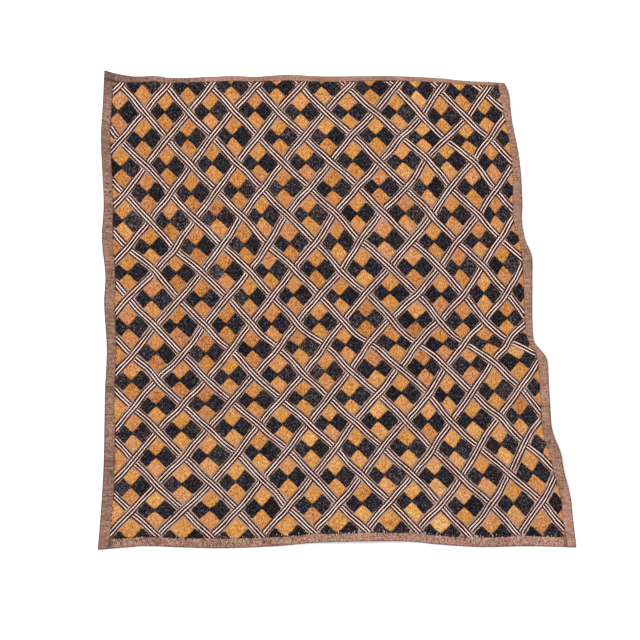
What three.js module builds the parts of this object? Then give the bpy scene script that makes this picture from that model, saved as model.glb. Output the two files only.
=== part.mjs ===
// Kuba raffia cloth: one embroidered raffia panel with turned hems, lying on a flat surface.
// Millimetres, +Z up. The origin lies under the middle of the panel's box, on the surface.
import * as THREE from "three";

// Thicknesses and section sizes
const bandThickness = 1.5; // woven ground with the flat stitched lines of the bands
const pileRise = 0.7; // how far the cut-pile lozenges stand above the bands
const hemThickness = 2.6; // the ground turned twice
const hemInnerStep = 0.12; // share of the hem's width that its soft inner edge takes
const hemOuterRound = 0.86; // share of the hem's width at which its outer rounding begins

// Interlaced bands: the lattice is counted in half repeats, across and down
const lattice = {
  firstColumn: { top: -0.2, bottom: -0.8 }, // at the left hem
  lastColumn: { top: 16.7, bottom: 16.85 }, // at the right hem
  firstRow: { left: -0.08, right: -0.3 }, // at the top hem
  lastRow: { left: 17, right: 17.2 }, // at the bottom hem
  rowBow: { left: 0.005, right: -0.024 }, // how far the middle rows bow down, as a share of the field
  bandHalf: 0.12, // half of a band's flat floor, along a side of a lattice square
  pileFoot: 0.19, // where the pile beside a band has its full height
  rimSteps: 600, // places along each hem's edge where a band may meet it
};

// Outer edge of each side and the width of its hem, one row for each bend of the edge
const leftSide = [
  { y: 299.5, x: -290, hem: 12 },
  { y: 263, x: -292, hem: 12 },
  { y: 219, x: -295, hem: 12.5 },
  { y: 176, x: -293.5, hem: 13 },
  { y: 132, x: -291.5, hem: 12.5 },
  { y: 88, x: -293.5, hem: 14.5 },
  { y: 44, x: -289.5, hem: 13 },
  { y: 7, x: -291, hem: 14 },
  { y: -49, x: -287.5, hem: 12.5 },
  { y: -106, x: -290, hem: 12.5 },
  { y: -187, x: -291.5, hem: 14.5 },
  { y: -243, x: -294.5, hem: 15 },
  { y: -299, x: -299, hem: 14.5 },
];
const rightSide = [
  { y: 284, x: 209, hem: 11 },
  { y: 270, x: 214.5, hem: 11.5 },
  { y: 238, x: 218.5, hem: 8.5 },
  { y: 188, x: 228, hem: 10 },
  { y: 138, x: 231.5, hem: 12 },
  { y: 111, x: 231, hem: 10.5 },
  { y: 88, x: 235, hem: 8 },
  { y: 68, x: 243, hem: 12.5 },
  { y: 38, x: 244, hem: 11.5 },
  { y: -18, x: 244, hem: 9.5 },
  { y: -38, x: 245.5, hem: 8 },
  { y: -51, x: 255.5, hem: 8 },
  { y: -64, x: 262.5, hem: 11.5 },
  { y: -112, x: 266, hem: 12 },
  { y: -149, x: 269, hem: 12 },
  { y: -177, x: 279, hem: 15 },
  { y: -199, x: 283, hem: 14 },
  { y: -231, x: 291.5, hem: 13 },
  { y: -262, x: 295, hem: 13 },
  { y: -296, x: 299, hem: 12 },
];
const topSide = [
  { x: -290, y: 299.5, hem: 10 },
  { x: -274, y: 295, hem: 9 },
  { x: -252, y: 292, hem: 7.5 },
  { x: -226, y: 293, hem: 7.5 },
  { x: -202, y: 290.5, hem: 6.5 },
  { x: -131, y: 293, hem: 7 },
  { x: -102, y: 292, hem: 6.5 },
  { x: -61, y: 294.5, hem: 8 },
  { x: -16, y: 292.5, hem: 7.5 },
  { x: 64, y: 293, hem: 6.5 },
  { x: 124, y: 290.5, hem: 6.5 },
  { x: 160, y: 287, hem: 5.5 },
  { x: 209, y: 284, hem: 5 },
];
const bottomSide = [
  { x: -299, y: -299, hem: 12.5 },
  { x: -256, y: -295.5, hem: 12 },
  { x: -234, y: -294.5, hem: 12 },
  { x: -152, y: -297, hem: 12.5 },
  { x: -77, y: -294.5, hem: 12 },
  { x: -19, y: -289.5, hem: 11 },
  { x: 79, y: -288, hem: 11 },
  { x: 129, y: -292.5, hem: 11.5 },
  { x: 179, y: -295.5, hem: 12 },
  { x: 241, y: -294.5, hem: 13 },
  { x: 299, y: -296, hem: 12.5 },
];

// Soft lifts where the cloth doesn't lie quite flat, each fading out within its reach
const lifts = [
  { x: -292, y: 300, rise: 7, reachX: 75, reachY: 70 }, // curled top left corner
  { x: 212, y: 286, rise: 3, reachX: 60, reachY: 55 }, // top right corner
  { x: 250, y: -45, rise: 4.5, reachX: 60, reachY: 45 }, // jog of the right edge
  { x: 238, y: 80, rise: 3, reachX: 50, reachY: 45 }, // bend of the right edge
  { x: 282, y: -185, rise: 3.5, reachX: 50, reachY: 50 }, // ripple in the lower right edge
  { x: 30, y: -289, rise: 4, reachX: 110, reachY: 45 }, // bow of the bottom edge
  { x: -293, y: 95, rise: 3, reachX: 45, reachY: 60 }, // ripple in the left edge
  { x: -288, y: -60, rise: 2.5, reachX: 40, reachY: 60 }, // ripple in the left edge
];

// A side as a smooth curve of its outer edge, with the hem's width along it
function makeSide(rows) {
  const edge = new THREE.SplineCurve(rows.map((row) => new THREE.Vector2(row.x, row.y)));
  const hemRun = rows.map((row, i) => new THREE.Vector2(i / (rows.length - 1), row.hem));
  const hem = new THREE.SplineCurve(hemRun);
  return {
    edgeAt: (share) => edge.getPointAt(share),
    hemAt: (share) => hem.getPoint(edge.getUtoTmapping(share)).y,
  };
}
const left = makeSide(leftSide);
const right = makeSide(rightSide);
const top = makeSide(topSide);
const bottom = makeSide(bottomSide);

// Point of the whole panel at shares across and down, spanned between its four edges
function panelPoint(across, down) {
  const corner = (row) => new THREE.Vector2(row.x, row.y);
  const topRun = corner(topSide[0]).lerp(corner(topSide.at(-1)), across);
  const bottomRun = corner(bottomSide[0]).lerp(corner(bottomSide.at(-1)), across);
  const fromSides = left.edgeAt(down).lerp(right.edgeAt(down), across);
  const fromEnds = top.edgeAt(across).lerp(bottom.edgeAt(across), down);
  return fromSides.add(fromEnds).sub(topRun.lerp(bottomRun, down));
}

// Panel shares of a point of the embroidered field, which lies inside the four hems
function fieldToPanel(across, down) {
  const width = left.edgeAt(down).distanceTo(right.edgeAt(down));
  const height = top.edgeAt(across).distanceTo(bottom.edgeAt(across));
  const leftShare = left.hemAt(down) / width;
  const rightShare = 1 - right.hemAt(down) / width;
  const topShare = top.hemAt(across) / height;
  const bottomShare = 1 - bottom.hemAt(across) / height;
  return {
    across: THREE.MathUtils.lerp(leftShare, rightShare, across),
    down: THREE.MathUtils.lerp(topShare, bottomShare, down),
  };
}

// Field shares of a lattice point
function latticeToField(column, row) {
  const { firstColumn, lastColumn, firstRow, lastRow, rowBow } = lattice;
  const side = column / lastColumn.top;
  const first = THREE.MathUtils.lerp(firstRow.left, firstRow.right, side);
  const last = THREE.MathUtils.lerp(lastRow.left, lastRow.right, side);
  const run = (row - first) / (last - first);
  const bow = THREE.MathUtils.lerp(rowBow.left, rowBow.right, side);
  const down = run + bow * 4 * run * (1 - run);
  const start = THREE.MathUtils.lerp(firstColumn.top, firstColumn.bottom, down);
  const end = THREE.MathUtils.lerp(lastColumn.top, lastColumn.bottom, down);
  const across = (column - start) / (end - start);
  return { across, down };
}

// Polygons of one lattice square: a band's floor along its diagonal, two slopes and two pile corners.
// Squares alternate, so that the diagonals join into bands that cross.
function squarePolygons(column, row) {
  const { bandHalf, pileFoot } = lattice;
  const rising = (column + row) % 2 !== 0;
  const point = (u, v, pile) => {
    const place = latticeToField(column + (rising ? 1 - u : u), row + v);
    return { ...place, pile };
  };
  const floor = [
    point(0, 0, 0),
    point(bandHalf, 0, 0),
    point(1, 1 - bandHalf, 0),
    point(1, 1, 0),
    point(1 - bandHalf, 1, 0),
    point(0, bandHalf, 0),
  ];
  const upperSlope = [
    point(bandHalf, 0, 0),
    point(pileFoot, 0, 1),
    point(1, 1 - pileFoot, 1),
    point(1, 1 - bandHalf, 0),
  ];
  const lowerSlope = [
    point(0, bandHalf, 0),
    point(1 - bandHalf, 1, 0),
    point(1 - pileFoot, 1, 1),
    point(0, pileFoot, 1),
  ];
  const upperPile = [point(pileFoot, 0, 1), point(1, 0, 1), point(1, 1 - pileFoot, 1)];
  const lowerPile = [point(0, pileFoot, 1), point(1 - pileFoot, 1, 1), point(0, 1, 1)];
  const polygons = [floor, upperSlope, lowerSlope, upperPile, lowerPile];
  return rising ? polygons.map((polygon) => polygon.reverse()) : polygons;
}

// Part of a convex polygon on the near side of one edge of the field
function clip(polygon, axis, limit, sign) {
  const kept = [];
  const alongEdge = axis === "across" ? "down" : "across";
  polygon.forEach((from, i) => {
    const to = polygon[(i + 1) % polygon.length];
    const fromDepth = sign * (from[axis] - limit);
    const toDepth = sign * (to[axis] - limit);
    if (fromDepth >= 0) kept.push(from);
    if (fromDepth * toDepth >= 0) return;
    const forward = from.across < to.across || (from.across === to.across && from.down < to.down);
    const [a, b] = forward ? [from, to] : [to, from];
    const share = (limit - a[axis]) / (b[axis] - a[axis]);
    const cut = {
      across: THREE.MathUtils.lerp(a.across, b.across, share),
      down: THREE.MathUtils.lerp(a.down, b.down, share),
      pile: THREE.MathUtils.lerp(a.pile, b.pile, share),
    };
    cut[axis] = limit;
    cut[alongEdge] = Math.round(cut[alongEdge] * lattice.rimSteps) / lattice.rimSteps;
    kept.push(cut);
  });
  return kept;
}

function clipToField(polygon) {
  let kept = clip(polygon, "across", 0, 1);
  kept = clip(kept, "across", 1, -1);
  kept = clip(kept, "down", 0, 1);
  return clip(kept, "down", 1, -1);
}

// Height of the surface's lifts at a point
function liftAt(point) {
  const fade = (distance, reach) => Math.max(0, 1 - (distance / reach) ** 2) ** 2;
  return lifts.reduce((sum, lift) => {
    const nearX = fade(point.x - lift.x, lift.reachX);
    const nearY = fade(point.y - lift.y, lift.reachY);
    return sum + lift.rise * nearX * nearY;
  }, 0);
}

// Collects points and triangles, with each point stored once
class Skin {
  points = [];
  triangles = [];
  known = new Map();

  add(plan, height, layer) {
    const key = [layer, plan.x.toFixed(3), plan.y.toFixed(3)].join(" ");
    if (!this.known.has(key)) {
      this.known.set(key, this.points.length / 3);
      this.points.push(plan.x, plan.y, liftAt(plan) + height);
    }
    return this.known.get(key);
  }

  fan(corners) {
    for (let i = 2; i < corners.length; i += 1) {
      const [a, b, c] = [corners[0], corners[i - 1], corners[i]];
      if (a !== b && b !== c && c !== a) this.triangles.push(a, b, c);
    }
  }

  geometry() {
    const geometry = new THREE.BufferGeometry();
    geometry.setAttribute("position", new THREE.Float32BufferAttribute(this.points, 3));
    geometry.setIndex(this.triangles);
    geometry.computeVertexNormals();
    return geometry;
  }
}

function fieldPlan(place) {
  const share = fieldToPanel(place.across, place.down);
  return panelPoint(share.across, share.down);
}

// The embroidered field: its top with bands and pile, and its plain underside
function addField(skin) {
  const rim = new Map();
  for (let row = -1; row <= Math.floor(lattice.lastRow.right); row += 1) {
    for (let column = -1; column <= Math.floor(lattice.lastColumn.bottom); column += 1) {
      for (const polygon of squarePolygons(column, row)) {
        const corners = clipToField(polygon);
        if (corners.length < 3) continue;
        const tops = corners.map((c) => skin.add(fieldPlan(c), bandThickness + c.pile * pileRise, "top"));
        const unders = corners.map((c) => skin.add(fieldPlan(c), 0, "under"));
        skin.fan(tops.reverse());
        skin.fan(unders);
        corners.forEach((c) => noteRim(rim, c));
      }
    }
  }
  return orderRim([...rim.values()]);
}

function noteRim(rim, place) {
  const { across, down } = place;
  if (across === 0 || across === 1 || down === 0 || down === 1) {
    rim.set([across.toFixed(6), down.toFixed(6)].join(" "), place);
  }
}

// The rim's points in order round the field: top, right, bottom and left side
function orderRim(places) {
  const along = (axis, limit, key, sign) =>
    places.filter((p) => p[axis] === limit).sort((a, b) => sign * (a[key] - b[key]));
  return [
    { outer: (share) => ({ across: share.across, down: 0 }), places: along("down", 0, "across", 1) },
    { outer: (share) => ({ across: 1, down: share.down }), places: along("across", 1, "down", 1) },
    { outer: (share) => ({ across: share.across, down: 1 }), places: along("down", 1, "across", -1) },
    { outer: (share) => ({ across: 0, down: share.down }), places: along("across", 0, "down", -1) },
  ];
}

// The hem: from the field's rim over the turned edge and back under it
function addHem(skin, rimSides) {
  const sections = [];
  for (const side of rimSides) {
    for (const place of side.places) {
      sections.push({ place, outer: side.outer(fieldToPanel(place.across, place.down)) });
    }
    const place = side.places.at(-1);
    const corner = { across: Math.round(place.across), down: Math.round(place.down) };
    sections.push({ place, outer: corner });
  }
  const rings = sections.map(({ place, outer }) => {
    const inner = fieldPlan(place);
    const edge = panelPoint(outer.across, outer.down);
    const shoulder = inner.clone().lerp(edge, hemOuterRound);
    return [
      skin.add(inner, bandThickness + place.pile * pileRise, "top"),
      skin.add(inner.clone().lerp(edge, hemInnerStep), hemThickness, "hem"),
      skin.add(shoulder, hemThickness, "hem"),
      skin.add(edge, hemThickness / 2, "edge"),
      skin.add(shoulder, 0, "under"),
      skin.add(inner, 0, "under"),
    ];
  });
  rings.forEach((ring, i) => {
    const next = rings[(i + 1) % rings.length];
    for (let k = 1; k < ring.length; k += 1) {
      skin.fan([ring[k - 1], next[k - 1], next[k], ring[k]]);
    }
  });
}

function makePanel() {
  const skin = new Skin();
  addHem(skin, addField(skin));
  const raffia = new THREE.MeshStandardMaterial({ color: 0x9a6a3f, roughness: 0.9, metalness: 0 });
  const panel = new THREE.Mesh(skin.geometry(), raffia);
  panel.name = "raffia_panel";
  return panel;
}

const cloth = new THREE.Group();
cloth.add(makePanel());

export default cloth;
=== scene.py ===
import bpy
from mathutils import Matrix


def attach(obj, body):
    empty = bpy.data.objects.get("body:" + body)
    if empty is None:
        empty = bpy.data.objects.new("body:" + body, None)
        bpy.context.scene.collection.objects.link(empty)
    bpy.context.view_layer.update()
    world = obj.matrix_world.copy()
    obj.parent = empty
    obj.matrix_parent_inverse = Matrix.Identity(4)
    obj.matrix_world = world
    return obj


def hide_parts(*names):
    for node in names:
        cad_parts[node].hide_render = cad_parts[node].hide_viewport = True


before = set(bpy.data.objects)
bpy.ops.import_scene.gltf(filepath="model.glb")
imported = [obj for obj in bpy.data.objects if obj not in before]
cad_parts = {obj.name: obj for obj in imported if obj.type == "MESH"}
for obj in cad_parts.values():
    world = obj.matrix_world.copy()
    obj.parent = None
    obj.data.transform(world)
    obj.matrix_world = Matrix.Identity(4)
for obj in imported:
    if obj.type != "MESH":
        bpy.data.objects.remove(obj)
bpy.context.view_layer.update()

import math

import bpy
import numpy as np
from mathutils import Vector

mm = 0.001
fullTurn = 6.283  # radians

# the panel's outer edge and hem widths in mm, one row for each bend of the edge
panel = {
    "left": [  # x, y, hem
        (-290, 299.5, 12), (-292, 263, 12), (-295, 219, 12.5), (-293.5, 176, 13),
        (-291.5, 132, 12.5), (-293.5, 88, 14.5), (-289.5, 44, 13), (-291, 7, 14),
        (-287.5, -49, 12.5), (-290, -106, 12.5), (-291.5, -187, 14.5),
        (-294.5, -243, 15), (-299, -299, 14.5),
    ],
    "right": [
        (209, 284, 11), (214.5, 270, 11.5), (218.5, 238, 8.5), (228, 188, 10),
        (231.5, 138, 12), (231, 111, 10.5), (235, 88, 8), (243, 68, 12.5), (244, 38, 11.5),
        (244, -18, 9.5), (245.5, -38, 8), (255.5, -51, 8), (262.5, -64, 11.5),
        (266, -112, 12), (269, -149, 12), (279, -177, 15), (283, -199, 14),
        (291.5, -231, 13), (295, -262, 13), (299, -296, 12),
    ],
    "top": [
        (-290, 299.5, 10), (-274, 295, 9), (-252, 292, 7.5), (-226, 293, 7.5),
        (-202, 290.5, 6.5), (-131, 293, 7), (-102, 292, 6.5), (-61, 294.5, 8),
        (-16, 292.5, 7.5), (64, 293, 6.5), (124, 290.5, 6.5), (160, 287, 5.5), (209, 284, 5),
    ],
    "bottom": [
        (-299, -299, 12.5), (-256, -295.5, 12), (-234, -294.5, 12), (-152, -297, 12.5),
        (-77, -294.5, 12), (-19, -289.5, 11), (79, -288, 11), (129, -292.5, 11.5),
        (179, -295.5, 12), (241, -294.5, 13), (299, -296, 12.5),
    ],
    "spanSteps": 24,  # curve steps between two rows
}


def smoothRun(values, steps):  # uniform Catmull-Rom through the values
    v = np.asarray(values, float)
    v = np.concatenate([v[:1], v, v[-1:]])
    t = np.linspace(0, 1, steps, endpoint=False)[:, None]
    runs = []
    for i in range(len(v) - 3):
        a, b, c, d = v[i], v[i + 1], v[i + 2], v[i + 3]
        near, far = (c - a) / 2, (d - b) / 2
        cubic, square = 2 * (b - c) + near + far, 3 * (c - b) - 2 * near - far
        runs.append(cubic * t**3 + square * t**2 + near * t + b)
    return np.concatenate(runs + [v[-2:-1]])


def makeSide(rows):
    run = smoothRun(rows, panel["spanSteps"])
    length = np.concatenate([[0], np.cumsum(np.hypot(*np.diff(run[:, :2], axis=0).T))])
    return {"share": length / length[-1], "run": run}


sides = {name: makeSide(panel[name]) for name in ("left", "right", "top", "bottom")}


def onSide(name, share, column):
    return np.interp(share, sides[name]["share"], sides[name]["run"][:, column])


def edgeAt(name, share):
    return np.stack([onSide(name, share, 0), onSide(name, share, 1)], -1)


def panelPoint(across, down):  # plan place in mm of shares across and down the whole panel
    a, d = np.asarray(across)[..., None], np.asarray(down)[..., None]
    corner = {key: np.array(panel[side][end][:2], float) for key, side, end in (
        ("tl", "top", 0), ("tr", "top", -1), ("bl", "bottom", 0), ("br", "bottom", -1))}
    fromSides = edgeAt("left", down) * (1 - a) + edgeAt("right", down) * a
    fromEnds = edgeAt("top", across) * (1 - d) + edgeAt("bottom", across) * d
    flat = (corner["tl"] * (1 - a) + corner["tr"] * a) * (1 - d)
    flat = flat + (corner["bl"] * (1 - a) + corner["br"] * a) * d
    return fromSides + fromEnds - flat


def fieldToPanel(across, down):  # shares of the embroidered field to shares of the panel
    a, d = np.clip(across, 0, 1), np.clip(down, 0, 1)
    width = np.linalg.norm(edgeAt("left", d) - edgeAt("right", d), axis=-1)
    height = np.linalg.norm(edgeAt("top", a) - edgeAt("bottom", a), axis=-1)
    first, last = onSide("left", d, 2) / width, 1 - onSide("right", d, 2) / width
    start, end = onSide("top", a, 2) / height, 1 - onSide("bottom", a, 2) / height
    return first + (last - first) * across, start + (end - start) * down


def fieldPoint(across, down):
    return panelPoint(*fieldToPanel(across, down))


# interlaced bands: counted in half repeats across and down, crossings where column + row is even
lattice = {
    "firstColumn": (-0.29, -0.89),  # at the left hem, top and bottom
    "lastColumn": (16.61, 16.76),
    "firstRow": (-0.08, -0.3),  # at the top hem, left and right
    "lastRow": (17, 17.2),
    "rowBow": (0.005, -0.024),  # how far the middle rows bow down, left and right
    "wobble": 0.9,  # drift of the hand-laid lines, mm
    "wobbleSize": 150,
    "fieldSize": (530, 570),  # rough width and height of the field, mm
    "countI": (-12, 36),  # the crossings counted, down-right and up-right
    "countJ": (-24, 24),
    "drifts": [  # column, row, reach across, reach down, moved right, moved up, mm
        (12, 8, 6, 3.5, 6.5, -3.5), (17, 11.2, 4, 2.2, -4, 11), (5, 13.5, 5, 2.6, 3.5, 4.5),
        (6, 2, 5, 3, -4, 1), (16.5, 4, 3, 1.6, 1, -4), (0.5, 15.5, 4, 2.5, -5, 0),
        (16.5, 13.2, 4, 1.4, -2, 4), (2.8, 7.6, 4, 4.2, 6, 0), (10.4, 6.6, 3, 2.4, -3, -2),
        (8.1, 6.6, 2.6, 2.2, 0, -5), (13.5, 10.5, 3, 2, -5.5, 0), (10.4, 12.1, 3.2, 2.4, 4, 0),
        (17.2, 14.1, 3, 2, -5, 7), (1.3, 10, 3.5, 1.8, 0, -5), (2, 5.9, 3, 1.5, 0, -4.5),
        (2.5, 7.3, 3.5, 1.4, 0, 1), (6.6, 0.5, 2.2, 1.6, -4.5, 0), (9.7, 4.6, 2.6, 1.7, 0, 4.5),
        (15.7, 3.2, 3, 1.9, -3, 4.5), (4, 1.8, 2.6, 2.6, 3, 0), (0.3, 1, 2, 2, 2.5, -0.5),
        (13, 4.6, 2.6, 2, 3, -1.5), (15.6, 6, 2.4, 1.6, -3.5, 1), (11, 10.3, 2.6, 2, -3.5, 0),
        (8, 10.9, 2.2, 1.8, 0, -3), (7, 13.4, 4, 2.2, 2.2, -2.4), (0.4, 13.4, 2, 2, -2, 0),
        (15, 13, 2, 1.6, 3, 0), (15.8, 15.8, 3, 2, -0.5, 2.5), (9.4, 2, 2, 1.6, -1, 3),
        (0.4, 7.5, 2, 1.6, 2.5, 2.5), (15.6, 17.2, 3.2, 1.5, -1, -10), (17, 12.6, 1.8, 1.2, -2, -3),
        (17.3, 2.5, 1.7, 4.5, -6.5, 0), (17.3, 7, 1.7, 4.2, -6.5, 0),
        (10.9, 10, 2, 1.6, -6, 0), (4.9, 13.6, 2.4, 3.5, 2, -0.5), (3, 15.5, 2.4, 1.8, 2, 0),
        (13, 1, 1.5, 1.3, 0, -5.5), (13, 3, 1.5, 1.3, -0.5, 6), (14, 2, 1.3, 1.2, -3, -3.5),
        (15, 1, 1.5, 1.2, 0, -3.5), (16, 2, 1.3, 1.3, -4, 0), (15, 3, 1.3, 1.2, 3.5, 0),
        (14, 4, 1.3, 1.2, -3.5, 0), (17, 1, 1.3, 1.3, -3, 4.5), (17.2, 3, 1.3, 1.3, -2.5, 0),
        (15, 5, 1.4, 1.3, 6, 0), (14, 6, 1.3, 1.2, -3, -2), (15, 7, 1.3, 1.2, -2, 0),
        (16, 8, 1.3, 1.2, -2, 0), (15.5, 9.5, 1.6, 1.4, -4, -4), (17, 5, 1.3, 1.2, 0, 3.5),
        (17, 7, 1.3, 1.2, -2, 7), (17, 9, 1.3, 1.2, -3, -3.5), (6, 6, 1.4, 1.2, 0, -3.5),
        (10, 6, 1.5, 1.3, -5, 0), (9, 7, 1.3, 1.2, -3, -2.5), (10, 8, 1.3, 1.2, -3, 2),
        (8, 9, 2.2, 1.2, 0, -5), (0, 8, 1.3, 1.2, -4, 1), (13.9, 4.8, 2.2, 2, 3, -2),
        (12.4, 6.6, 2, 2.4, 2, 0), (10.9, 4.8, 1.8, 1.6, 2, -1),
    ],
}


def mix(pair, share):
    return pair[0] + (pair[1] - pair[0]) * share


def softWaves(x, y, seed, size):  # smooth seeded noise of about unit spread
    rng = np.random.default_rng(seed)
    total = np.zeros(np.shape(x))
    count = 9  # waves laid over one another
    angles, phases = rng.uniform(0, fullTurn, count), rng.uniform(0, fullTurn, count)
    for angle, phase, stretch in zip(angles, phases, rng.uniform(0.6, 1.7, count)):
        along = x * math.cos(angle) + y * math.sin(angle)
        total = total + np.sin(along * fullTurn / (size * stretch) + phase)
    return total / 2.1


def fade(distance, reach):
    return np.clip(1 - (distance / reach) ** 2, 0, None) ** 2


def driftTable():  # how far each crossing has moved, counted along the two ways that the bands run
    i, j = np.meshgrid(np.arange(*lattice["countI"]), np.arange(*lattice["countJ"]), indexing="ij")
    moved = np.zeros(i.shape + (2,))
    for c, r, reachC, reachR, moveX, moveY in lattice["drifts"]:
        near = fade(i + j - c, reachC) * fade(i - j - r, reachR)
        moved = moved + near[..., None] * np.array((moveX, moveY))
    return moved


drifted = driftTable()


def driftAt(column, row):  # bands run straight from one crossing to the next
    i, j = (column + row) / 2 - lattice["countI"][0], (column - row) / 2 - lattice["countJ"][0]
    i0, j0 = np.floor(i).astype(int), np.floor(j).astype(int)
    total = 0
    for di, dj in ((0, 0), (0, 1), (1, 0), (1, 1)):
        share = np.abs(1 - di - (i - i0)) * np.abs(1 - dj - (j - j0))
        total = total + share[..., None] * drifted[i0 + di, j0 + dj]
    return total[..., 0], total[..., 1]


def latticeToField(column, row):
    side = column / lattice["lastColumn"][0]
    first, last = mix(lattice["firstRow"], side), mix(lattice["lastRow"], side)
    run = (row - first) / (last - first)
    down = run + mix(lattice["rowBow"], side) * 4 * run * (1 - run)
    start, end = mix(lattice["firstColumn"], down), mix(lattice["lastColumn"], down)
    across = (column - start) / (end - start)
    wide, high = lattice["fieldSize"]
    right = lattice["wobble"] * softWaves(across * wide, down * high, 11, lattice["wobbleSize"])
    up = lattice["wobble"] * softWaves(across * wide, down * high, 12, lattice["wobbleSize"])
    driftRight, driftUp = driftAt(column, row)
    return across + (right + driftRight) / wide, down - (up + driftUp) / high


def latticePoint(column, row):
    return fieldPoint(*latticeToField(column, row))


# how the cloth lies: soft lifts and creases over the flat surface
lie = {
    "lifts": [  # x, y, rise, reach across, reach down, mm
        (-292, 300, 7, 75, 70), (212, 286, 3, 60, 55), (250, -45, 4.5, 60, 45), (238, 80, 3, 50, 45),
        (282, -185, 3.5, 50, 50), (30, -289, 4, 110, 45), (-293, 95, 3, 45, 60), (-288, -60, 2.5, 40, 60),
    ],
    "creases": [  # x, y, direction in degrees, half length, half width, rise, mm
        (-285, 131, 2, 17, 3.5, 0.7), (-284, 69, -4, 15, 3, -0.5), (-282, -99, 3, 18, 2.6, -0.9),
        (-282, -106, -2, 18, 2.6, 0.8), (-284, -190, 4, 16, 2.6, 0.7), (-284, -197, 0, 16, 2.4, -0.7),
        (238, -36, 8, 22, 3.2, -1.0), (244, -47, 24, 30, 4.5, 1.3), (262, -166, 5, 15, 3, 0.8),
        (268, -182, -6, 16, 2.6, -0.8), (276, -210, 4, 15, 2.6, 0.7), (281, -224, -3, 15, 2.4, -0.6),
        (215, 40, 160, 70, 7, 0.8), (205, -60, 25, 70, 8, 0.9), (-120, 140, 75, 120, 10, 0.45),
        (60, -120, 12, 150, 11, 0.4), (-60, 30, -30, 140, 10, 0.4),
    ],
}


def lieHeight(x, y):  # mm above the surface that the cloth lies on
    z = np.zeros(np.shape(x))
    for cx, cy, rise, reachX, reachY in lie["lifts"]:
        z = z + rise * fade(x - cx, reachX) * fade(y - cy, reachY)
    for cx, cy, turn, half, width, rise in lie["creases"]:
        cos, sin = math.cos(math.radians(turn)), math.sin(math.radians(turn))
        along, across = (x - cx) * cos + (y - cy) * sin, (y - cy) * cos - (x - cx) * sin
        z = z + rise * fade(along, half) * fade(across, width)
    return np.maximum(z, 0)


def gridQuads(ids):
    return np.stack([ids[1:, :-1], ids[1:, 1:], ids[:-1, 1:], ids[:-1, :-1]], -1).reshape(-1, 4)


# mesh from arrays of places in mm, with named values for each point
def makePiece(name, points, faces, values=None, uv=None):
    mesh = bpy.data.meshes.new(name)
    points = np.asarray(points, float) * mm
    faces = [np.asarray(f, np.int32) for f in faces if len(f)]
    corners = np.concatenate([f.ravel() for f in faces])
    totals = np.concatenate([np.full(len(f), f.shape[1], np.int32) for f in faces])
    mesh.vertices.add(len(points))
    mesh.vertices.foreach_set("co", points.ravel())
    mesh.loops.add(len(corners))
    mesh.loops.foreach_set("vertex_index", corners)
    mesh.polygons.add(len(totals))
    mesh.polygons.foreach_set("loop_start", np.concatenate([[0], np.cumsum(totals)[:-1]]).astype(np.int32))
    mesh.polygons.foreach_set("use_smooth", np.ones(len(totals), bool))
    mesh.update(calc_edges=True)
    for key, numbers in (values or {}).items():
        layer = mesh.attributes.new(key, "FLOAT", "POINT")
        layer.data.foreach_set("value", np.asarray(numbers, np.float32))
    if uv is not None:
        layer = mesh.uv_layers.new(name="threads")
        layer.data.foreach_set("uv", np.asarray(uv, np.float32)[corners].ravel())
    mesh.validate()
    piece = bpy.data.objects.new(name, mesh)
    bpy.context.collection.objects.link(piece)
    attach(piece, "root")
    triangles = int((totals - 2).sum())
    print("made", name, len(points), "points", triangles, "triangles")
    return piece


# ground cloth: plain-woven raffia with its edges turned into hems
ground = {
    "thickness": 1.0,
    "linesAcross": 128,  # mesh lines over the field
    "linesDown": 150,
    "hemSection": [  # share of the hem from its outer edge, top, underside, mm
        (0, 1.25, 1.25), (0.04, 2.05, 0.45), (0.12, 2.6, 0.05), (0.26, 2.65, 0), (0.46, 2.4, 0),
        (0.66, 2.35, 0), (0.82, 2.5, 0), (0.92, 2.3, 0), (1, 1.0, 0),
    ],
    "hemRise": 1.4,  # full rise of a hem over the plain cloth
    "lap": 0.8,  # rise where one hem crosses another
    "weave": (560, 590),  # threads' run across and down, mm
    "hemTones": {"left": -0.2, "top": 0.6, "right": 0.75, "bottom": 1.2},
    "hemGrain": {"left": 0.85, "top": 0.4, "right": 0.7, "bottom": 1},  # how rough each hem's weave shows
    "seam": 0.75,  # depth of the line where one hem's edge crosses another, which is also painted darker as shade
    "stains": [  # x, y, reach, lightness, greyness, olive
        (-285, 295, 45, 0, 0.75, 0), (-245, 292, 50, 0, 0.6, 0), (-200, 291, 35, 0, 0.3, 0),
        (-294, 207, 36, 0, 0.4, 0.6), (-290, 20, 60, 0.3, 0, 0.4), (-285, -70, 35, 0, 0.3, 0),
        (-292, -200, 40, 0, 0.3, 0.1), (-290, -285, 55, 0.3, 0, 0.4), (-190, -290, 90, 0, 0.1, 0.35),
        (-20, -290, 70, 0.7, 0, 0), (90, -290, 70, 0.6, 0, 0), (240, 60, 60, 0, 0.15, 0.1),
        (290, -250, 70, 1.1, 0, 0), (250, -295, 90, 0.5, 0, 0),
    ],
    "tucks": [  # side, y on that side, depth of a crease across its hem, which also sets its painted shade
        ("left", 237, 0.4), ("left", 182, 0.35), ("left", 128, 0.5), ("left", 69, 0.4), ("left", -95.5, 1),
        ("left", -101, 0.8), ("left", -189, 0.9), ("left", -194.5, 0.8), ("left", -243, 0.4),
        ("right", 228, 0.4), ("right", 140, 0.4), ("right", -33, 0.9), ("right", -92, 0.6),
        ("right", -120.5, 0.5), ("right", -147.5, 0.5), ("right", -165, 1), ("right", -184, 0.7),
        ("right", -209, 0.7), ("right", -223, 0.5),
    ],
    "tuckWidth": 0.65,
    "tuckReach": 3,  # how far a crease runs on into the field
}


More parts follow.
